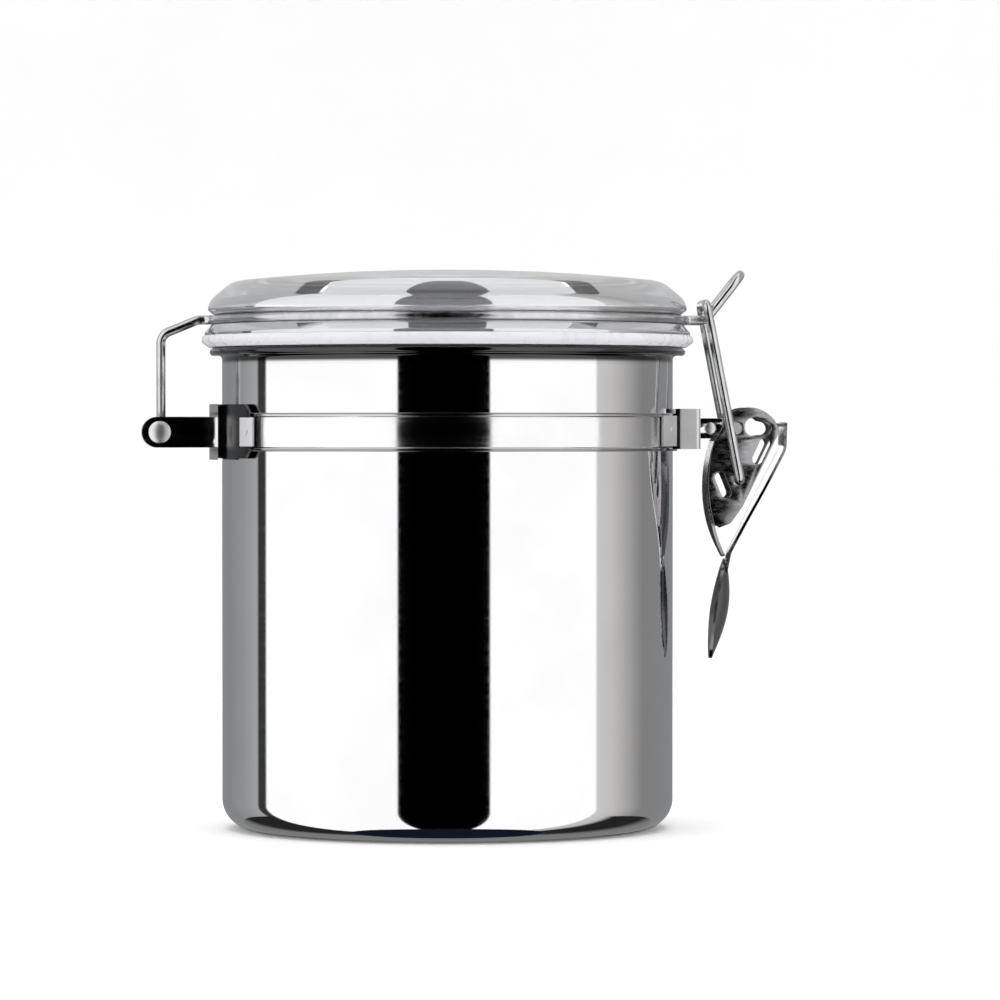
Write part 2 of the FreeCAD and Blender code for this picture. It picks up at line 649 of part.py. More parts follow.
def make_bail():
    foot = (SIZES["bail_x"], SIZES["bail_z"])
    bar = (SIZES["bail_bar_x"], SIZES["bail_bar_z"])
    stops = [(foot, SIZES["bail_end"]), (foot, SIZES["bail_half"]),
             (bar, SIZES["bail_half"]), (bar, -SIZES["bail_half"]),
             (foot, -SIZES["bail_half"]), (foot, -SIZES["bail_end"])]
    points = [FreeCAD.Vector(x, y, z) for (x, z), y in stops]
    bends = [SIZES[n] for n in
             ("bail_foot_bend", "bail_top_bend", "bail_top_bend", "bail_foot_bend")]
    edges = bent_line(points, bends)
    wire_feature("bail", sweep_wire(edges, points[0], FreeCAD.Vector(0, 1, 0)), "bail_wire")


def make_everything():
    make_can()
    make_band_half("near_half", "band_half_near", -1)
    make_band_half("far_half", "band_half_far", 1)
    make_rear_plates()
    make_pads("rear_pads", "rear_end_pads",
              ("saddle_outer", "rear_pad_outer", "rear_pad_low", "rear_pad_top",
               "rear_pad_sweep"),
              [180 - SIZES["rear_pad_turn"], 180 + SIZES["rear_pad_turn"]])
    make_front_bracket()
    make_pads("front_pads", "front_end_pads",
              ("band_bead", "front_pad_outer", "front_pad_low", "front_pad_top",
               "front_pad_sweep"),
              [SIZES["front_pad_turn"], -SIZES["front_pad_turn"]])
    make_pins()
    make_lid()
    make_gasket()
    make_ring_wire()
    make_bracket()
    make_handle()
    make_bail()


def write_parts():
    DOC.recompute()
    for thing in DOC.Objects:
        if any(state in ("Invalid", "Error") for state in thing.State):
            raise ValueError(f"{thing.Name} did not build: {thing.State}")
    os.makedirs("parts", exist_ok=True)
    for part in PARTS:
        shape = part.Shape
        if shape.isNull() or not shape.isValid():
            raise ValueError(f"{part.Label} has no valid shape")
        shape.exportStep(f"parts/{part.Label}.step")
        low, high = shape.BoundBox, shape.BoundBox
        print(f"{part.Label:16s} solids {len(shape.Solids)} volume {shape.Volume:9.1f} "
              f"x {low.XMin:.1f}..{high.XMax:.1f} y {low.YMin:.1f}..{high.YMax:.1f} "
              f"z {low.ZMin:.1f}..{high.ZMax:.1f}")


fill_sheet()
make_everything()
write_parts()
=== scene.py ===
import math

import bmesh
import bpy
from mathutils import Matrix, Vector


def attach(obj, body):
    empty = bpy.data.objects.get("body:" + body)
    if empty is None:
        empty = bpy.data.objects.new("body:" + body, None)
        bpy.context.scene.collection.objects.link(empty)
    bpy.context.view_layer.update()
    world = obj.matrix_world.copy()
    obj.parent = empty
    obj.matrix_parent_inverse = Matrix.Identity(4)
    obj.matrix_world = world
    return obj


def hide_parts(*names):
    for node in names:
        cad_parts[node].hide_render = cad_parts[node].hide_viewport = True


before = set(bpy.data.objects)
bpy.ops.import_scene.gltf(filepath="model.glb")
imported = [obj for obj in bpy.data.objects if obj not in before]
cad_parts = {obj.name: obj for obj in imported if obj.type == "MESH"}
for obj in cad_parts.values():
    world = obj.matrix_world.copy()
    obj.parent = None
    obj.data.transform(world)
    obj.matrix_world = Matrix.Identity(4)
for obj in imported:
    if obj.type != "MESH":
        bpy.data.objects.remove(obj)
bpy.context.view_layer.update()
MM = 0.001
TURN = 2 * math.pi

# Places and sizes that several pieces share, in mm. The pairs are (x, z).
HINGE, PIVOT, BAIL_FOOT, TAB_RIVET = (-76.5, 105.3), (76.4, 106.3), (77.4, 92.6), (69.7, 106.3)
WIRE_RADIUS = 1.2
RING_RADIUS, RING_HEIGHT, RING_BEND = 62.0, 135.1, 3.0
LEG_SIDE, TONGUE_HALF = 1.3, 4.5
SHEET = 0.8


# ---- meshes ----

def add_object(name, mesh, body, material, nodes, sharp=40):
    mesh.set_sharp_from_angle(angle=math.radians(sharp))
    obj = bpy.data.objects.new(name, mesh)
    bpy.context.scene.collection.objects.link(obj)
    mesh.materials.clear()
    mesh.materials.append(material)
    if nodes:
        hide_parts(*nodes)
    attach(obj, body)
    return obj


def rounded(corners, steps=6, closed=True):
    """Points round a 2-D outline of (x, y, radius) corners."""
    out = []
    for i, (x, y, radius) in enumerate(corners):
        here = Vector((x, y))
        if radius <= 0 or (not closed and i in (0, len(corners) - 1)):
            out.append((x, y))
            continue
        back = (Vector(corners[i - 1][:2]) - here).normalized()
        ahead = (Vector(corners[(i + 1) % len(corners)][:2]) - here).normalized()
        half = back.angle(ahead) / 2
        centre = here + (back + ahead).normalized() * (radius / math.sin(half))
        start = here + back * (radius / math.tan(half)) - centre
        end = here + ahead * (radius / math.tan(half)) - centre
        first = math.atan2(start.y, start.x)
        turn = (math.atan2(end.y, end.x) - first + math.pi) % TURN - math.pi
        for k in range(steps + 1):
            angle = first + turn * k / steps
            out.append((centre.x + radius * math.cos(angle),
                        centre.y + radius * math.sin(angle)))
    return out


def arc(centre, radius, start, end, steps):
    """Points on an arc, angles in degrees."""
    angles = [math.radians(start + (end - start) * k / steps) for k in range(steps + 1)]
    return [(centre[0] + radius * math.cos(a), centre[1] + radius * math.sin(a))
            for a in angles]


def finish_bmesh(bm, name):
    bmesh.ops.remove_doubles(bm, verts=bm.verts, dist=1e-7)
    bmesh.ops.dissolve_degenerate(bm, dist=1e-8, edges=bm.edges)
    bmesh.ops.recalc_face_normals(bm, faces=bm.faces)
    mesh = bpy.data.meshes.new(name)
    bm.to_mesh(mesh)
    bm.free()
    for face in mesh.polygons:
        face.use_smooth = True
    return mesh


def turned(bm, profile, segments=256, start=0.0, sweep=360.0):
    """A closed (radius, height) profile in mm turned about Z, capped if not a full turn."""
    whole = sweep >= 360
    rings = []
    for k in range(segments if whole else segments + 1):
        angle = math.radians(start + sweep * k / segments)
        rings.append([bm.verts.new((r * MM * math.cos(angle), r * MM * math.sin(angle), z * MM))
                      for r, z in profile])
    count = len(profile)
    for k in range(segments):
        one, two = rings[k], rings[(k + 1) % len(rings)]
        for i in range(count):
            bm.faces.new((one[i], one[(i + 1) % count], two[(i + 1) % count], two[i]))
    if not whole:
        bm.faces.new(rings[0])
        bm.faces.new(rings[-1][::-1])


def lathe_mesh(name, profile, **kw):
    bm = bmesh.new()
    turned(bm, profile, **kw)
    return finish_bmesh(bm, name)


def plate_mesh(name, outline, holes, gauge, bevel=0.15):
    """A flat sheet in the XZ plane, gauge thick about y = 0, with holes, in mm."""
    curve = bpy.data.curves.new(name, "CURVE")
    curve.dimensions, curve.fill_mode = "2D", "BOTH"
    for loop in [outline, *holes]:
        spline = curve.splines.new("POLY")
        spline.points.add(len(loop) - 1)
        for point, (x, z) in zip(spline.points, loop):
            point.co = (x * MM, z * MM, 0, 1)
        spline.use_cyclic_u = True
    curve.extrude = (gauge / 2 - bevel) * MM
    curve.bevel_depth, curve.bevel_resolution, curve.offset = bevel * MM, 2, -bevel * MM
    holder = bpy.data.objects.new(name, curve)
    bpy.context.scene.collection.objects.link(holder)
    bpy.context.view_layer.update()
    mesh = bpy.data.meshes.new_from_object(
        holder.evaluated_get(bpy.context.evaluated_depsgraph_get()))
    bpy.data.objects.remove(holder)
    bpy.data.curves.remove(curve)
    mesh.transform(Matrix.Rotation(math.pi / 2, 4, "X"))
    return mesh


def join_meshes(name, placed):
    """One mesh from (mesh, matrix) pairs."""
    bm = bmesh.new()
    for mesh, matrix in placed:
        part = mesh.copy()
        part.transform(matrix)
        bm.from_mesh(part)
    return finish_bmesh(bm, name)


def shift(x=0.0, y=0.0, z=0.0):
    return Matrix.Translation((x * MM, y * MM, z * MM))


def circle(x, z, radius, steps=28):
    return arc((x, z), radius, 0, 360 * (1 - 1 / steps), steps - 1)


def close_sheet(bm, front, back):
    """Both faces and the edges of a sheet whose two sides are grids of vertices."""
    last, wide = len(front) - 1, len(front[0]) - 1
    for i in range(last):
        for j in range(wide):
            bm.faces.new((front[i][j], front[i][j + 1], front[i + 1][j + 1], front[i + 1][j]))
            bm.faces.new((back[i][j], back[i + 1][j], back[i + 1][j + 1], back[i][j + 1]))
    for i in range(last):
        for j in (0, wide):
            bm.faces.new((front[i][j], front[i + 1][j], back[i + 1][j], back[i][j]))
    for j in range(wide):
        for i in (0, last):
            bm.faces.new((front[i][j], back[i][j], back[i][j + 1], front[i][j + 1]))


def sheet_grid(bm, rows, gauge):
    """A closed sheet from rows of (point, outward normal) in mm, gauge thick behind the face."""
    front = [[bm.verts.new(p * MM) for p, _ in row] for row in rows]
    back = [[bm.verts.new((p - n * gauge) * MM) for p, n in row] for row in rows]
    close_sheet(bm, front, back)


# ---- wires ----

def swung(centre, one, two, steps):
    """Points round a centre from offset one to offset two."""
    span = one.angle(two)
    return [centre + (one * math.sin(span * (1 - k / steps)) + two * math.sin(span * k / steps))
            / math.sin(span) for k in range(steps + 1)]


def bend(before, corner, after, radius, steps):
    """Points of a tangent arc round one corner of a centre line."""
    back, ahead = (before - corner).normalized(), (after - corner).normalized()
    half = back.angle(ahead) / 2
    centre = corner + (back + ahead).normalized() * (radius / math.sin(half))
    start = corner + back * (radius / math.tan(half)) - centre
    end = corner + ahead * (radius / math.tan(half)) - centre
    return swung(centre, start, end, steps)


def bent_line(points, radii, steps=10):
    """A centre line with each inner corner rounded to its radius."""
    points = [Vector(p) for p in points]
    out = [points[0]]
    for before, corner, after, radius in zip(points, points[1:], points[2:], radii):
        out += bend(before, corner, after, radius, steps)
    return out + [points[-1]]


def wire_mesh(name, loops, radius, around=20, tip=0.35):
    """Round wire along each (points, closed) centre line in mm, with softly rounded cut ends."""
    bm = bmesh.new()
    for points, closed in loops:
        count = len(points)
        rings, normal = [], None
        for i, here in enumerate(points):
            before = points[i - 1] if closed or i else here
            after = points[(i + 1) % count] if closed or i < count - 1 else here
            heading = (after - before).normalized()
            if normal is None:
                normal = heading.orthogonal().normalized()
            normal = (normal - heading * normal.dot(heading)).normalized()
            across = heading.cross(normal)
            rings.append((here, heading, normal, across))
        if not closed:
            first, last = rings[0], rings[-1]
            rings = [(*first, radius - tip),
                     (first[0] + first[1] * tip, *first[1:], radius),
                     *[(*r, radius) for r in rings[1:-1]],
                     (last[0] - last[1] * tip, *last[1:], radius),
                     (*last, radius - tip)]
        else:
            rings = [(*r, radius) for r in rings]
        hoops = []
        for here, _, up, across, size in rings:
            hoops.append([bm.verts.new((here + (up * math.cos(TURN * k / around)
                                                + across * math.sin(TURN * k / around)) * size)
                                       * MM) for k in range(around)])
        for i in range(len(hoops) if closed else len(hoops) - 1):
            one, two = hoops[i], hoops[(i + 1) % len(hoops)]
            for k in range(around):
                bm.faces.new((one[k], one[(k + 1) % around], two[(k + 1) % around], two[k]))
        if not closed:
            bm.faces.new(hoops[0])
            bm.faces.new(hoops[-1][::-1])
    return finish_bmesh(bm, name)


# ---- materials ----

NOISE_LOW, NOISE_HIGH = 0.3, 0.7     # the part of a noise's range that it mostly stays in
RAMP_TOP = 200                       # mm; the height ramp of the painted shade bands runs from 0 to here
RAMP_SOFT = 0.2                      # mm; half the width of a painted shade band's soft edge


def material(name):
    mat = bpy.data.materials.new(name)
    mat.use_nodes = True
    nodes, links = mat.node_tree.nodes, mat.node_tree.links
    return mat, nodes, links, nodes["Principled BSDF"]


def noise(nodes, links, scale, stretch=(1, 1, 1), detail=4.0, rough=0.55):
    """Noise in object space; scale is per metre, stretch squeezes it along an axis."""
    coords = nodes.new("ShaderNodeTexCoord")
    mapping = nodes.new("ShaderNodeMapping")
    mapping.inputs["Scale"].default_value = stretch
    texture = nodes.new("ShaderNodeTexNoise")
    texture.inputs["Scale"].default_value = scale
    texture.inputs["Detail"].default_value = detail
    texture.inputs["Roughness"].default_value = rough
    links.new(coords.outputs["Object"], mapping.inputs["Vector"])
    links.new(mapping.outputs["Vector"], texture.inputs["Vector"])
    return texture.outputs["Fac"]


def spread(nodes, links, source, low, high):
    """Maps the middle of a noise onto low..high."""
    ranged = nodes.new("ShaderNodeMapRange")
    ranged.inputs["From Min"].default_value = NOISE_LOW
    ranged.inputs["From Max"].default_value = NOISE_HIGH
    ranged.inputs["To Min"].default_value = low
    ranged.inputs["To Max"].default_value = high
    links.new(source, ranged.inputs["Value"])
    return ranged.outputs["Result"]


def tinted(nodes, links, source, dark, light):
    """Maps the middle of a noise onto a blend of two colours."""
    ramp = nodes.new("ShaderNodeValToRGB")
    ramp.color_ramp.elements[0].position = NOISE_LOW
    ramp.color_ramp.elements[1].position = NOISE_HIGH
    ramp.color_ramp.elements[0].color = (*dark, 1)
    ramp.color_ramp.elements[1].color = (*light, 1)
    links.new(source, ramp.inputs["Fac"])
    return ramp.outputs["Color"]


def bumped(nodes, links, shader, source, strength, distance):
    bump = nodes.new("ShaderNodeBump")
    bump.inputs["Strength"].default_value = strength
    bump.inputs["Distance"].default_value = distance
    links.new(source, bump.inputs["Height"])
    links.new(bump.outputs["Normal"], shader.inputs["Normal"])


def painted_shade_bands(nodes, links, colour, bands):
    """The colour, darker in bands of (low, high, factor), heights in mm on the piece itself:
    painted shade.
    """
    place = nodes.new("ShaderNodeTexCoord")
    parts = nodes.new("ShaderNodeSeparateXYZ")
    links.new(place.outputs["Object"], parts.inputs[0])
    ramp = nodes.new("ShaderNodeValToRGB")
    ramp.color_ramp.elements.remove(ramp.color_ramp.elements[0])
    ramp.color_ramp.elements[0].position = 0.0
    ramp.color_ramp.elements[0].color = (1, 1, 1, 1)
    span = nodes.new("ShaderNodeMapRange")
    span.inputs["From Min"].default_value = 0.0
    span.inputs["From Max"].default_value = RAMP_TOP * MM
    links.new(parts.outputs["Z"], span.inputs["Value"])
    links.new(span.outputs["Result"], ramp.inputs["Fac"])
    for low, high, factor in bands:
        for edge, level in ((low - RAMP_SOFT, 1), (low + RAMP_SOFT, factor),
                            (high - RAMP_SOFT, factor), (high + RAMP_SOFT, 1)):
            stop = ramp.color_ramp.elements.new(edge / RAMP_TOP)
            stop.color = (level, level, level, 1)
    mix = nodes.new("ShaderNodeMix")
    mix.data_type, mix.blend_type = "RGBA", "MULTIPLY"
    mix.inputs["Factor"].default_value = 1.0
    links.new(colour, mix.inputs["A"])
    links.new(ramp.outputs["Color"], mix.inputs["B"])
    return mix.outputs["Result"]


def steel(name, dark, light, rough, lines=(1, 1, 1), line_scale=900, bump=0.03, patch=35,
          painted_shade=None):
    """Polished or stamped steel: patchy polish, tiny working lines, a faint colour drift, and
    optional bands of painted shade.
    """
    mat, nodes, links, shader = material(name)
    shader.inputs["Metallic"].default_value = 1.0
    patchy = noise(nodes, links, patch)
    fine = noise(nodes, links, line_scale, lines, 2.0)
    colour = tinted(nodes, links, patchy, dark, light)
    if painted_shade:
        colour = painted_shade_bands(nodes, links, colour, painted_shade)
    links.new(colour, shader.inputs["Base Color"])
    links.new(spread(nodes, links, noise(nodes, links, patch * 3, lines), *rough),
              shader.inputs["Roughness"])
    bumped(nodes, links, shader, fine, bump, 0.00005)
    return mat


def compared(nodes, links, source, operation, level):
    """1 where the comparison with the level holds, else 0."""
    test = nodes.new("ShaderNodeMath")
    test.operation = operation
    links.new(source, test.inputs[0])
    test.inputs[1].default_value = level
    return test.outputs[0]


def brushed_inside(mat):
    """Make the can's inner wall and floor satin, where the outside is a mirror."""
    nodes, links = mat.node_tree.nodes, mat.node_tree.links
    shader = nodes["Principled BSDF"]
    place, flat = nodes.new("ShaderNodeTexCoord"), nodes.new("ShaderNodeVectorMath")
    flat.operation = "MULTIPLY"
    links.new(place.outputs["Object"], flat.inputs[0])
    flat.inputs[1].default_value = (1, 1, 0)
    radius, parts = nodes.new("ShaderNodeVectorMath"), nodes.new("ShaderNodeSeparateXYZ")
    radius.operation = "LENGTH"
    links.new(flat.outputs[0], radius.inputs[0])
    links.new(place.outputs["Object"], parts.inputs[0])
    masks = []
    # wall and floor: within this radius and above this height, in m, halfway through the sheet
    for reach, above in ((0.0596, 0.0085), (0.0517, 0.0004)):
        both = nodes.new("ShaderNodeMath")
        both.operation = "MULTIPLY"
        links.new(compared(nodes, links, radius.outputs["Value"], "LESS_THAN", reach),
                  both.inputs[0])
        links.new(compared(nodes, links, parts.outputs["Z"], "GREATER_THAN", above),
                  both.inputs[1])
        masks.append(both.outputs[0])
    inside = nodes.new("ShaderNodeMath")
    inside.operation = "MAXIMUM"
    links.new(masks[0], inside.inputs[0])
    links.new(masks[1], inside.inputs[1])
    links.new(spread(nodes, links, inside.outputs[0], 1.0, 0.45), shader.inputs["Metallic"])


def acrylic():
    mat, nodes, links, shader = material("clear_acrylic")
    shader.inputs["Metallic"].default_value = 0.52
    shader.inputs["Transmission Weight"].default_value = 0.85
    shader.inputs["IOR"].default_value = 1.49
    drift = noise(nodes, links, 18)
    links.new(tinted(nodes, links, drift, (0.93, 0.94, 0.96), (0.97, 0.975, 0.985)),
              shader.inputs["Base Color"])
    links.new(spread(nodes, links, noise(nodes, links, 120), 0.015, 0.06),
              shader.inputs["Roughness"])
    bumped(nodes, links, shader, noise(nodes, links, 45), 0.05, 0.0004)
    return mat


def silicone():
    mat, nodes, links, shader = material("silicone")
    shader.inputs["IOR"].default_value = 1.41
    cloud = noise(nodes, links, 60)
    links.new(tinted(nodes, links, cloud, (0.66, 0.66, 0.70), (0.74, 0.74, 0.77)),
              shader.inputs["Base Color"])
    links.new(spread(nodes, links, noise(nodes, links, 300), 0.22, 0.38),
              shader.inputs["Roughness"])
    bumped(nodes, links, shader, noise(nodes, links, 30), 0.02, 0.0002)
    return mat


# The band from 123.6 to 127.8 mm round the rim bead is painted shade, darkened to stand for the
# dark line between can and lid.
CAN = steel("can_steel", (0.80, 0.80, 0.81), (0.86, 0.86, 0.87), (0.03, 0.07),
            lines=(0.02, 0.02, 6), bump=0.02, painted_shade=((123.6, 127.8, 0.08),))
brushed_inside(CAN)
# The two bands along the strap's top and bottom edges are painted shade, standing for the dark
# shadow lines at its edges.
BAND = steel("band_steel", (0.78, 0.78, 0.79), (0.88, 0.88, 0.89), (0.06, 0.13),
             lines=(0.05, 0.05, 5), bump=0.03,
             painted_shade=((100.0, 101.1, 0.3), (109.5, 110.6, 0.3)))
# The nearly black base colour is painted reflection: it stands for the dark surroundings that the
# flat saddle plates mirror, not the steel's own tone.
DARK_REFLECTION_PLATE = steel("plate_steel", (0.04, 0.04, 0.042), (0.08, 0.08, 0.083), (0.12, 0.22),
              lines=(0.3, 0.3, 3), bump=0.05)
SATIN = steel("satin_steel", (0.80, 0.80, 0.81), (0.90, 0.90, 0.91), (0.50, 0.62),
              lines=(1, 1, 3), bump=0.05, patch=120)
RIVET = steel("rivet_steel", (0.70, 0.70, 0.71), (0.86, 0.86, 0.87), (0.30, 0.40), patch=200)
# The dark grey base colour is painted reflection: it stands for the dark surroundings mirrored in
# the bracket's flat cheeks and web, not the steel's own tone.
DARK_REFLECTION_LATCH = steel("latch_steel", (0.24, 0.23, 0.24), (0.44, 0.43, 0.44), (0.12, 0.30),
              lines=(1, 1, 3), bump=0.06, patch=140)
# Below 69 mm the finger pad is painted shade, darkened to stand for the shadowed inside of its
# dish.
LEVER = steel("lever_steel", (0.66, 0.66, 0.67), (0.80, 0.80, 0.81), (0.08, 0.18),
              lines=(1, 1, 3), bump=0.04, patch=140, painted_shade=((44, 69, 0.35),))
WIRE = steel("wire_steel", (0.50, 0.50, 0.51), (0.68, 0.68, 0.69), (0.12, 0.26),
             lines=(1, 1, 1), bump=0.05, patch=160)
ACRYLIC = acrylic()
SILICONE = silicone()


# ---- can, lid and seal ----

def make_can():
    profile = ([(0, 0), (50, 0)] + arc((52, 8), 8, -90, 0, 24)
               + [(60, 40), (60, 85), (60, 123.3)]
               + arc((60.9, 124.6), 0.9, 180, 90, 6)
               + arc((62.25, 126.55), 1.05, -90, 90, 12)
               + arc((60.0, 126.8), 0.8, 90, 180, 6)
               + [(59.2, 100), (59.2, 50)] + arc((52, 8), 7.2, 0, -90, 16) + [(0, 0.8)])
    add_object("can_shell", lathe_mesh("can_shell", profile), "canister", CAN,
               ["canister_body"])


def make_lid():
    outer = [(0, 148.3), (10, 148.25), (20, 147.95), (30, 147.5), (40, 146.85), (48, 146.2)]
    outer += rounded([(48, 146.2, 0), (57.4, 145.25, 7.0), (63.7, 139.9, 4.6),
                      (63.7, 137.6, 0.8), (62.2, 136.45, 0.5), (60.8, 136.4, 0.4),
                      (60.8, 133.95, 0.4), (62.8, 133.85, 0.6), (64.6, 131.7, 0.6),
                      (64.6, 130.95, 0)], closed=False)[1:]
    inner = rounded([(64.6, 130.95, 0), (56.0, 130.95, 0.4), (56.0, 125.8, 0.8),
                     (53.2, 125.8, 0.8), (53.2, 142.7, 3.0), (40, 143.8, 0)], closed=False)[1:]
    inner += [(30, 144.45), (20, 144.9), (10, 145.2), (0, 145.3)]
    add_object("lid_dome", lathe_mesh("lid_dome", outer + inner), "lid", ACRYLIC,
               ["lid"], sharp=50)


def make_seal():
    profile = rounded([(56.1, 130.9, 0.3), (56.1, 128.5, 0.4), (58.6, 127.8, 0.4),
                       (63.6, 127.8, 0.5), (65.6, 129.2, 0.9), (65.1, 130.9, 0.5)])
    add_object("seal_ring", lathe_mesh("seal_ring", profile), "lid", SILICONE,
               ["lid_gasket"], sharp=60)


# ---- band, hinge and front bracket ----

def leaf(name, root, end, low, high, round_, y, holes):
    """One flat leaf of the band, from its root to its rounded end."""
    tip = arc((end, (low + high) / 2), round_, -90 if end > root else 270, 90, 20)
    outline = [(root, high), (root, low), *tip]
    return plate_mesh(name, outline, holes, SHEET), shift(y=y)


def make_band(side, name, node):
    edge = 0.25
    profile = rounded([(60.02, 100.3, 0.1), (61.2, 100.3, edge), (61.2, 101.2, edge),
                       (60.9, 101.4, 0.15), (60.9, 109.2, 0.15), (61.2, 109.4, edge),
                       (61.2, 110.3, edge), (60.02, 110.3, 0.1)], steps=3)
    start = 5.3 if side > 0 else -177.4
    strap = lathe_mesh(name + "_strap", profile, segments=140, start=start, sweep=172.1)
    front = leaf(name + "_leaf", 60.2, PIVOT[0], 103.6, 109.0, 2.7, side * 6.0,
                 [circle(*PIVOT, 1.62), circle(*TAB_RIVET, 1.02, 18)])
    rear = leaf(name + "_hinge", -60.3, -77.38, 101.2, 109.4, 4.1, side * 3.2,
                [circle(*HINGE, 1.57)])
    mesh = join_meshes(name, [(strap, shift()), front, rear])
    add_object(name, mesh, "canister", BAND, [node])


def curved_plate(name, inner, outer, low, high, centre, sweep, corner, mat, node):
    """A plate curved round the can, with its corners cut."""
    bm = bmesh.new()
    half = math.radians(sweep / 2)
    columns, tall = 64, (high - low) / 2
    middle = (high + low) / 2
    rows = [-1, -0.999, -0.96, -0.5, 0, 0.5, 0.96, 0.999, 1]
    grid = []
    for j in rows:
        line = []
        for i in range(columns + 1):
            t = -1 + 2 * i / columns
            arc_left = (1 - abs(t)) * half * inner
            cut = max(0.0, corner - arc_left)
            z = middle + j * (tall - cut)
            a = math.radians(centre) + t * half
            soft = 0.12 if abs(j) == 1 or abs(t) == 1 else 0.0
            line.append((a, z, soft))
        grid.append(line)
    top = [[bm.verts.new(((outer - s) * MM * math.cos(a), (outer - s) * MM * math.sin(a), z * MM))
            for a, z, s in line] for line in grid]
    under = [[bm.verts.new((inner * MM * math.cos(a), inner * MM * math.sin(a), z * MM))
              for a, z, s in line] for line in grid]
    close_sheet(bm, top, under)
    add_object(name, finish_bmesh(bm, name), "canister", mat, [node])


def rivet(name, x, z, pin, half, head, rise, body, mat, slot, node):
    """A rivet along Y with soft domed heads."""
    dome = [(head * math.cos(a), half + rise * math.sin(a))
            for a in [math.radians(90 * k / 10) for k in range(11)]]
    low = [(r, -h) for r, h in reversed(dome)]
    profile = [(0.0, -half - rise), *low[1:], (head, -half + 0.02), (pin, -half + 0.02),
               (pin, half - 0.02), (head, half - 0.02), *dome[:-1], (0.0, half + rise)]
    mesh = lathe_mesh(name, profile, segments=48)
    mesh.transform(shift(x, 0, z) @ Matrix.Rotation(-math.pi / 2, 4, "X"))
    add_object(name, mesh, body, mat, [node])


# ---- ring wire and bail ----

def plan_bend(half):
    """Ring point, arc centre and run point where the wire leaves the ring, seen from above."""
    far, side = RING_RADIUS + RING_BEND, half + RING_BEND
    centre = Vector((math.sqrt(far ** 2 - side ** 2), side, RING_HEIGHT))
    on_ring = Vector((centre.x * RING_RADIUS / far, centre.y * RING_RADIUS / far, RING_HEIGHT))
    return on_ring, centre, Vector((centre.x, half, RING_HEIGHT))


def arc_points(centre, start, end, steps):
    """Points round a centre from one point to another."""
    return swung(centre, start - centre, end - centre, steps)


def ring_half():
    """Centre line of the +Y half, from the hinge leg to the tip of the tongue."""
    ring_r, centre_r, run_r = [Vector((-p.x, p.y, p.z)) for p in plan_bend(LEG_SIDE)]
    ring_f, centre_f, run_f = plan_bend(TONGUE_HALF)
    leg = bent_line([(-76.2, LEG_SIDE, 108.2), (-76.2, LEG_SIDE, 131.1),
                     (-66.4, LEG_SIDE, RING_HEIGHT), run_r], [3.2, 3.2])
    line = leg + arc_points(centre_r, run_r, ring_r, 8)[1:]
    first, last = (math.atan2(p.y, p.x) for p in (ring_r, ring_f))
    for k in range(1, 96):
        a = first + (last - first) * k / 96
        line.append(Vector((RING_RADIUS * math.cos(a), RING_RADIUS * math.sin(a),
                            RING_HEIGHT)))
    line += arc_points(centre_f, ring_f, run_f, 8)
    foot, tip = Vector((68.6, 0, RING_HEIGHT)), Vector((78.2, 0, 147.3))
    rise, side = (tip - foot).normalized(), Vector((0, TONGUE_HALF, 0))
    turn = tip - rise * TONGUE_HALF
    line += bent_line([run_f, foot + side, turn + side], [2.5])[1:]
    return line + arc_points(turn, turn + side, tip, 10)[1:]


def make_ring_wire():
    half = ring_half()
    other = [Vector((p.x, -p.y, p.z)) for p in reversed(half[:-1])]
    loops = [(half + other, False)]
    eye_radius = 2.8
    for side in (-LEG_SIDE, LEG_SIDE):
        eye = [Vector((HINGE[0] + eye_radius * math.cos(a), side,
                       HINGE[1] + eye_radius * math.sin(a)))
               for a in [TURN * k / 36 for k in range(36)]]
        loops.append((eye, True))
    add_object("ring_wire", wire_mesh("ring_wire", loops, WIRE_RADIUS), "lid", WIRE,
               ["lid_ring_wire"], sharp=60)


def make_bail():
    foot, bar = BAIL_FOOT, (68.4, 139.4)
    stops = [(foot, 6.4), (foot, 9.4), (bar, 9.4), (bar, -9.4), (foot, -9.4), (foot, -6.4)]
    line = bent_line([(x, y, z) for (x, z), y in stops], [1.4, 2.6, 2.6, 1.4])
    add_object("bail", wire_mesh("bail", [(line, False)], WIRE_RADIUS), "bail", WIRE,
               ["bail_wire"], sharp=60)


# ---- latch lever ----

def chord_arc(start, end, radius, side, steps=16):
    """Points from start to end on an arc whose centre is left (+1) or right (-1) of the chord."""
    start, end = Vector(start), Vector(end)
    chord = end - start
    left = Vector((-chord.y, chord.x)).normalized()
    reach = math.sqrt(radius ** 2 - (chord.length / 2) ** 2)
    centre = (start + end) / 2 + left * reach * side
    one, two = start - centre, end - centre
    first = math.atan2(one.y, one.x)
    turn = (math.atan2(two.y, two.x) - first + math.pi) % TURN - math.pi
    return [(centre.x + radius * math.cos(first + turn * k / steps),
             centre.y + radius * math.sin(first + turn * k / steps)) for k in range(steps + 1)]


def slanted_slot(x, z, half, run, lean):
    """Outline of a slot with round ends, leaning from the vertical by lean degrees."""
    loop = arc((0, run), half, 0, 180, 10) + arc((0, -run), half, 180, 360, 10)
    c, s = math.cos(math.radians(lean)), math.sin(math.radians(lean))
    return [(x + px * c + pz * s, z - px * s + pz * c) for px, pz in loop]


def eyelet_hole():
    """Lobed opening: a round eye with a smaller lobe beside it."""
    return arc((81.2, 106.7), 2.5, 40, 290, 20) + arc((84.1, 106.3), 1.75, -100, 80, 12)


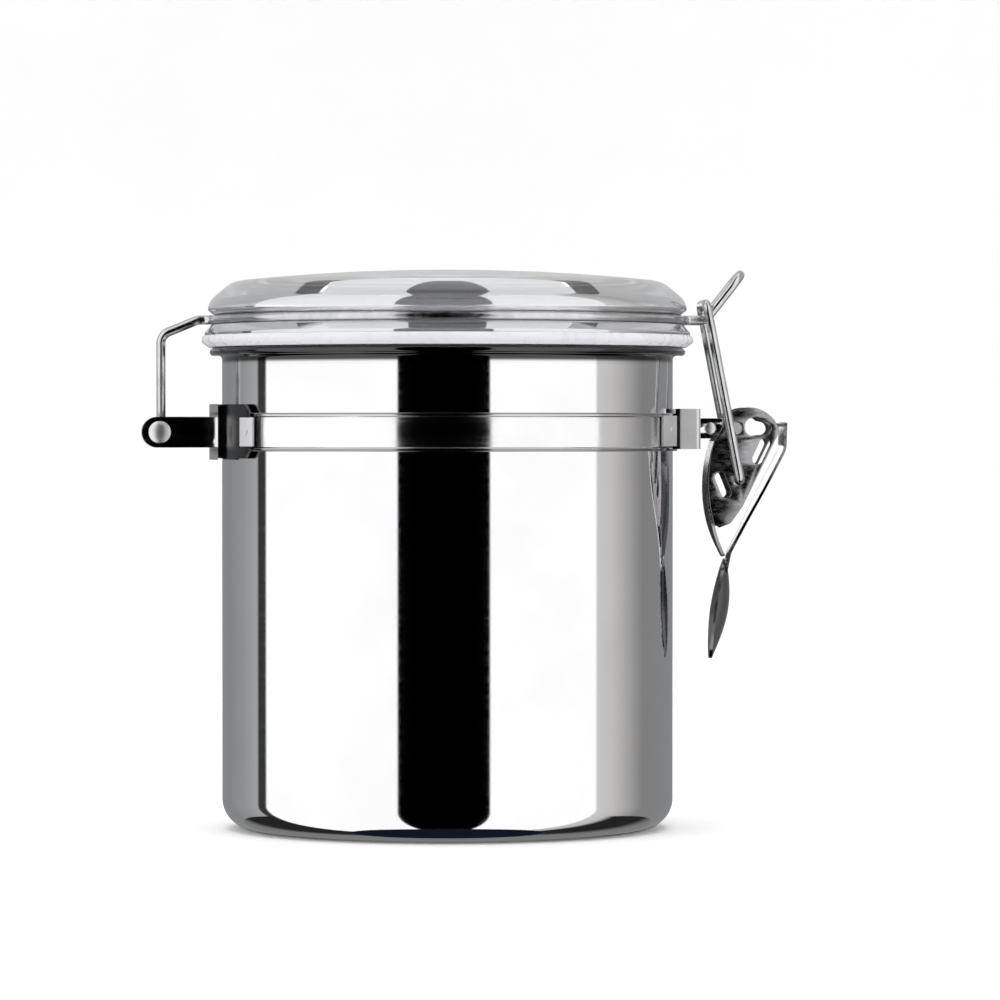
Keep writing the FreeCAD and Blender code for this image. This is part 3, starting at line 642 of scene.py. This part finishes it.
def make_bracket():
    cheek_end, web_half, foot_half = 80.3, 7.0, 3.1
    head = chord_arc((75.4, 110.7), (88.1, 105.6), 8.6, -1)
    spine = [p for p in chord_arc((73.4, 73.8), (70.6, 102.9), 39.7, -1, 24)
             if p[1] > cheek_end]
    outline = head + rounded([(88.1, 105.6, 0), (78.3, 85.7, 3), (75.0, 81.0, 1.5),
                              (72.0, 79.9, 0)], closed=False)[1:] + spine
    holes = [circle(*PIVOT, 1.66), circle(*BAIL_FOOT, 1.26), eyelet_hole(),
             slanted_slot(83.1, 100.2, 1.4, 2.3, 25), slanted_slot(73.0, 91.2, 1.4, 2.2, -22)]
    cheek = plate_mesh("cheek", outline, holes, SHEET)
    bm = bmesh.new()
    rows, centre = [], Vector((110.3, 0, 0))
    for x, z in chord_arc((70.6, 102.9), (73.3, 72.1), 39.7, 1, 32):
        taper = max(0.0, (z - 73.3) / 7)
        half = web_half if z > cheek_end else foot_half + (web_half - foot_half) * taper
        normal = Vector((x - centre.x, 0, z - 88.8)).normalized()
        rows.append([(Vector((x, half * v / 6, z)), normal) for v in range(-6, 7)])
    sheet_grid(bm, rows, SHEET)
    web = finish_bmesh(bm, "web")
    mesh = join_meshes("lever_bracket", [(cheek, shift(y=-7.4)), (cheek, shift(y=7.4)),
                                         (web, shift())])
    add_object("lever_bracket", mesh, "lever", DARK_REFLECTION_LATCH, ["latch_bracket"])


def plate_half_width(z):
    """Half the face plate's width at a height: narrow at the foot, wide at the head."""
    (narrow_z, narrow), (wide_z, wide) = (75.3, 3.2), (93.3, 7.7)
    t = min(1.0, max(0.0, (z - narrow_z) / (wide_z - narrow_z)))
    return narrow + (wide - narrow) * (t * t * (3 - 2 * t))


def make_handle():
    bm = bmesh.new()
    path = rounded([(87.7, 107.55, 0), (90.3, 108.1, 0.5), (90.05, 100.6, 6.0),
                    (75.7, 72.9, 5.0), (74.7, 67.8, 0)], steps=8, closed=False)
    fine = []
    for (x0, z0), (x1, z1) in zip(path, path[1:]):
        pieces = max(1, int(math.hypot(x1 - x0, z1 - z0) / 1.2))
        fine += [(x0 + (x1 - x0) * k / pieces, z0 + (z1 - z0) * k / pieces)
                 for k in range(pieces)]
    fine.append(path[-1])
    rows = []
    for i, (x, z) in enumerate(fine):
        before, after = fine[max(0, i - 1)], fine[min(len(fine) - 1, i + 1)]
        along = Vector((after[0] - before[0], 0, after[1] - before[1])).normalized()
        normal = Vector((-along.z, 0, along.x))
        half = plate_half_width(z)
        row = []
        for v in range(-8, 9):
            u = v / 8
            crown = -0.15 * u ** 4
            row.append((Vector((x, half * u, z)) + normal * crown, normal))
        rows.append(row)
    sheet_grid(bm, rows, 0.75)
    spoon_rows = []
    top, foot = Vector((74.6, 0, 71.5)), Vector((70.7, 0, 44.9))
    for i in range(41):
        t = i / 40
        s = math.sin(math.pi * t)
        base = top + (foot - top) * t
        half = 0.5 + 6.7 * s ** 0.75
        row = []
        for v in range(-10, 11):
            u = v / 10
            depth = (2.45 - 3.7 * u * u) * s
            slope = Vector((1, 1.35 * u * s, 0)).normalized()
            row.append((base + Vector((depth, half * u, 0)), slope))
        spoon_rows.append(row)
    sheet_grid(bm, spoon_rows, 0.9)
    add_object("lever_handle", finish_bmesh(bm, "lever_handle"), "lever", LEVER,
               ["latch_handle"], sharp=50)


def carry(node, mat):
    """Puts a material on a CAD shape that stays visible."""
    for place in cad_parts[node].material_slots:
        place.material = mat


# ---- studio ----

RING = 0.5                # radius in m of the cards that reflections see
RING_TURN = -3            # degrees; the cards face the camera
FOOT, LOW, WAIST, BROW, HIGH, TOP = -1.0, -0.2, 0.11, 0.16, 0.72, 0.9    # card heights in m


def light_ring(name, stops, low, high):
    """A band of light all round the object; angles from the -Y direction towards +X.

    Each stop is an angle, a brightness there, and how much warmer than white it is.
    """
    mesh = bpy.data.meshes.new(name)
    verts, faces, colours = [], [], []
    for (a0, l0, w0), (a1, l1, w1) in zip(stops, stops[1:]):
        steps = max(1, round((a1 - a0) / 3))
        for k in range(steps + (a1 == stops[-1][0])):
            t = k / steps
            a = math.radians(RING_TURN + a0 + (a1 - a0) * t)
            level, warm = l0 + (l1 - l0) * t, w0 + (w1 - w0) * t
            for z in (low, high):
                verts.append((RING * math.sin(a), -RING * math.cos(a), z))
                colours.append((level * (1 + warm), level, level * (1 - warm), 1))
    for k in range(len(verts) // 2 - 1):
        faces.append((2 * k, 2 * k + 1, 2 * k + 3, 2 * k + 2))
    mesh.from_pydata(verts, [], faces)
    glow = mesh.color_attributes.new("glow", "FLOAT_COLOR", "POINT")
    for k, colour in enumerate(colours):
        glow.data[k].color = colour
    obj = stage_card(name, mesh, (1, 1, 1), 1.0)
    nodes, links = mesh.materials[0].node_tree.nodes, mesh.materials[0].node_tree.links
    lookup = nodes.new("ShaderNodeVertexColor")
    lookup.layer_name = "glow"
    links.new(lookup.outputs["Color"], nodes["Principled BSDF"].inputs["Emission Color"])
    return obj


def stage_card(name, mesh, colour, strength):
    """A glowing card that only reflections see."""
    obj = bpy.data.objects.new(name, mesh)
    bpy.context.scene.collection.objects.link(obj)
    mat, _, _, shader = material(name + "_light")
    shader.inputs["Base Color"].default_value = (0, 0, 0, 1)
    shader.inputs["Specular IOR Level"].default_value = 0.0
    shader.inputs["Emission Color"].default_value = (*colour, 1)
    shader.inputs["Emission Strength"].default_value = strength
    mesh.materials.append(mat)
    obj.visible_camera = False
    obj.visible_shadow = False
    obj.visible_diffuse = False
    obj.visible_transmission = False
    return obj


def disc_mesh(name, radius, z):
    mesh = bpy.data.meshes.new(name)
    ring = [(radius * math.cos(TURN * k / 64), radius * math.sin(TURN * k / 64), z)
            for k in range(64)]
    mesh.from_pydata(ring, [], [tuple(range(64))])
    return mesh


def sweep_mesh(name):
    """A round floor that curves up into a pale wall far behind, all the way round."""
    profile = [(0.0, -0.0002), (1.0, -0.0002), (2.6, -0.0002)]
    angles = [math.radians(6 * k) for k in range(1, 16)]
    profile += [(2.6 + 1.4 * math.sin(a), 1.4 - 1.4 * math.cos(a)) for a in angles]
    profile.append((4.0, 5.0))
    bm = bmesh.new()
    rings = [[bm.verts.new((r * math.cos(TURN * k / 96), r * math.sin(TURN * k / 96), z))
              for k in range(96)] for r, z in profile]
    for one, two in zip(rings, rings[1:]):
        for k in range(96):
            bm.faces.new((one[k], one[(k + 1) % 96], two[(k + 1) % 96], two[k]))
    return finish_bmesh(bm, name)


def make_studio():
    floor_mesh = sweep_mesh("floor")
    floor = bpy.data.objects.new("floor", floor_mesh)
    bpy.context.scene.collection.objects.link(floor)
    mat, nodes, links, shader = material("floor_paper")
    shader.inputs["Roughness"].default_value = 0.9
    links.new(tinted(nodes, links, noise(nodes, links, 3), (0.92, 0.92, 0.92),
                     (0.94, 0.94, 0.94)), shader.inputs["Base Color"])
    floor_mesh.materials.append(mat)
    floor.visible_glossy = False
    front = [(-98.5, 1.2, 0), (-23.4, 1.2, 0), (-22.6, 0.0, 0), (20.2, 0.0, 0), (21.0, 1.2, 0),
             (76.5, 1.2, 0), (78, 0.67, 0.01), (88, 0.60, 0.02), (98, 0.44, 0.02)]
    left = [(-140, 0.26, -0.02), (-120, 0.33, -0.02), (-107, 0.42, -0.02), (-105.5, 0.04, 0),
            (-100, 0.04, 0)]
    right = [(105, 0.34, 0.015), (112, 0.25, 0), (126, 0.25, -0.01)]

    def behind(level):
        """The same level on both sides of straight behind."""
        return ([(-180, level, 0), (-170, level, 0), (-168, 0.26, -0.02)],
                [(168, 0.26, -0.02), (170, level, 0), (180, level, 0)])

    for name, level, low, high in (("main_ring", 0.03, LOW, WAIST),
                                   ("bright_back_ring", 1.2, WAIST, BROW)):
        near, far = behind(level)
        light_ring(name, near + left + front + right + far, low, high)
    light_ring("high_ring", [(-180, 0.62, 0), (-100, 0.55, 0)] + front
               + [(105, 0.55, 0), (180, 0.62, 0)], BROW, HIGH)
    light_ring("top_ring", [(-180, 0.62, 0), (-150, 0.62, 0), (-146, 0.0, 0), (-108, 0.0, 0),
                            (-104, 0.62, 0)] + front
               + [(104, 0.55, 0), (108, 0.0, 0), (146, 0.0, 0), (150, 0.62, 0),
                  (180, 0.62, 0)], HIGH, TOP)
    dark_back = ([(-180, 0.22, 0), (-145, 0.22, 0), (-132, 0.02, 0), (-100, 0.02, 0)]
                 + front[:-1] + [(96, 0.02, 0), (128, 0.02, 0), (145, 0.22, 0), (180, 0.22, 0)])
    light_ring("low_ring", dark_back, FOOT, LOW)
    stage_card("low_flag", disc_mesh("low_flag", RING, FOOT), (0.04, 0.05, 0.09), 0.2)
    stage_card("ceiling", disc_mesh("ceiling", 0.52, 0.95), (1, 1, 1), 1.0)
    stage_card("top_flag", disc_mesh("top_flag", 0.14, TOP), (0, 0, 0), 0.0)
    bridge = bpy.data.meshes.new("flag_bridge")
    bridge.from_pydata([(x, y, 0.91) for x, y in ((-0.22, -0.5), (0.17, -0.5), (0.14, 0),
                                                  (-0.14, 0))], [], [(0, 1, 2, 3)])
    stage_card("flag_bridge", bridge, (0, 0, 0), 0.0)

    world = bpy.data.worlds.new("studio")
    bpy.context.scene.world = world
    world.use_nodes = True
    background = world.node_tree.nodes["Background"]
    background.inputs["Color"].default_value = (1, 1, 1, 1)
    background.inputs["Strength"].default_value = 1.15

    light = bpy.data.lights.new("top_softbox", "AREA")
    light.shape, light.size, light.size_y, light.energy = "RECTANGLE", 2.0, 2.0, 30
    lamp = bpy.data.objects.new("top_softbox", light)
    lamp.location = (0, 0, 2.2)
    bpy.context.scene.collection.objects.link(lamp)


def make_camera():
    distance, azimuth, height = 1.40, math.radians(-3), 0.1055
    aim = Vector((0.0140, 0, 0.0872))
    sensor, framing = 36, 3.75    # sensor width in mm; framing keeps the object's size
    data = bpy.data.cameras.new("camera")
    data.lens = sensor * framing * distance
    data.clip_start, data.clip_end = 0.02, 50
    camera = bpy.data.objects.new("camera", data)
    bpy.context.scene.collection.objects.link(camera)
    place = Vector((distance * math.sin(azimuth), -distance * math.cos(azimuth), 0)) + aim
    place.z = height
    camera.location = place
    camera.rotation_euler = (aim - place).to_track_quat("-Z", "Y").to_euler()
    bpy.context.scene.camera = camera


make_can()
make_lid()
make_seal()
make_band(-1, "band_near", "band_half_near")
make_band(1, "band_far", "band_half_far")
curved_plate("saddle_plate", 61.2, 62.0, 98.4, 112.6, 180, 63, 2.5, DARK_REFLECTION_PLATE,
             "rear_saddle")
rivet("hinge_rivet_head", *HINGE, 1.55, 3.6, 2.95, 1.0, "canister", RIVET, "rivet_steel",
      "hinge_rivet")
rivet("tab_rivet_head", *TAB_RIVET, 1.0, 6.4, 1.6, 0.35, "canister", RIVET, "rivet_steel",
      "front_tab_rivet")
make_ring_wire()
make_bail()
make_bracket()
make_handle()
for node, mat in (("rear_collar", BAND), ("rear_end_pads", SATIN), ("front_saddle", DARK_REFLECTION_PLATE),
                  ("front_clip", SATIN), ("front_end_pads", SATIN), ("lever_pivot_pin", RIVET)):
    carry(node, mat)
make_studio()
make_camera()
bpy.context.scene.view_settings.view_transform = "Standard"
